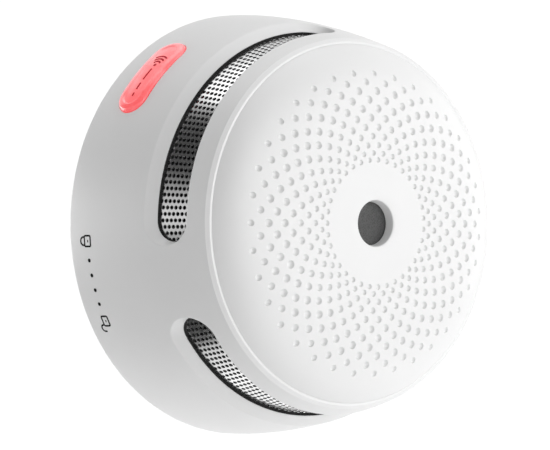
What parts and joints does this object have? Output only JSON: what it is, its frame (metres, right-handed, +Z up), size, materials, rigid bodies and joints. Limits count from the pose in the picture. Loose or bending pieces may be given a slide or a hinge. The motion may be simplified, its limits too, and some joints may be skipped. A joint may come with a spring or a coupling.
{
  "type": "smoke detector",
  "caption": "Round wall or ceiling battery smoke detector with domed dimpled face, screened side slots, lit side test button and twist-lock bracket.",
  "frame": {"origin": "centre of the bracket's flat back, on the twist axis, in the plane of the wall", "axes": "+Y into the wall along the twist axis, so the face looks along -Y; +Z up; +X to the right of someone facing the detector"},
  "size_m": [0.102, 0.0512, 0.102],
  "materials": {
    "white_plastic": "fine satin moulding, white",
    "housing_plastic": "satin moulding, off-white",
    "black_plastic": "matt black moulding",
    "red_button_plastic": "translucent red, lit from inside",
    "screen_steel": "perforated thin sheet",
    "zinc_steel": "zinc plated",
    "spring_steel": "nickel plated",
    "brass_plate": "rolled sheet",
    "piezo_ceramic": "silvered ceramic",
    "board_resin": "green solder mask",
    "capacitor_sleeve": "shrink sleeve, plain",
    "battery_wrap": "shrink wrap, plain",
    "clear_lens": "clear epoxy",
    "dark_lens": "tinted epoxy",
    "foam_rubber": "closed-cell foam",
    "dark_gauze": "fine acoustic gauze"
  },
  "bodies": {
    "bracket": {"mounting_bracket": "white_plastic"},
    "head": {"side_shell": "white_plastic", "face_cover": "white_plastic", "rear_housing": "housing_plastic", "insect_screen": "screen_steel", "chamber_base": "black_plastic", "chamber_cap": "black_plastic", "infrared_led": "clear_lens", "photodiode": "dark_lens", "circuit_board": "board_resin", "control_chip": "black_plastic", "sounder_coil": "black_plastic", "storage_capacitor": "capacitor_sleeve", "status_led_1": "clear_lens", "status_led_2": "clear_lens", "switch_body": "black_plastic", "sounder_cup": "black_plastic", "piezo_plate": "brass_plate", "piezo_ceramic": "piezo_ceramic", "sounder_seal": "foam_rubber", "sounder_mesh": "dark_gauze", "battery": "battery_wrap", "contact_positive": "spring_steel", "contact_negative": "spring_steel", "housing_screw_1": "zinc_steel", "housing_screw_2": "zinc_steel", "housing_screw_3": "zinc_steel", "board_screw_1": "zinc_steel", "board_screw_2": "zinc_steel", "board_screw_3": "zinc_steel"},
    "button": {"test_button": "red_button_plastic"},
    "plunger": {"switch_plunger": "housing_plastic"},
    "door": {"battery_door": "housing_plastic"}
  },
  "joints": [
    {"name": "head_twist", "type": "hinge", "parent": "bracket", "child": "head", "pos_m": [0, 0, 0], "axis": [0, -1, 0], "range_deg": [0, 23]},
    {"name": "button_press", "type": "slide", "parent": "head", "child": "button", "axis": [0.7193, 0, -0.6947], "range_m": [0, 0.0008], "stiffness_N_per_m": 1800},
    {"name": "plunger_press", "type": "slide", "parent": "head", "child": "plunger", "axis": [0.7193, 0, -0.6947], "range_m": [0, 0.0008]},
    {"name": "door_hinge", "type": "hinge", "parent": "head", "child": "door", "pos_m": [0, -0.00505, 0.0113], "axis": [1, 0, 0], "range_deg": [0, 100]}
  ],
  "couplings": [
    {"joint": "plunger_press", "follows": "button_press", "ratio": 1}
  ]
}
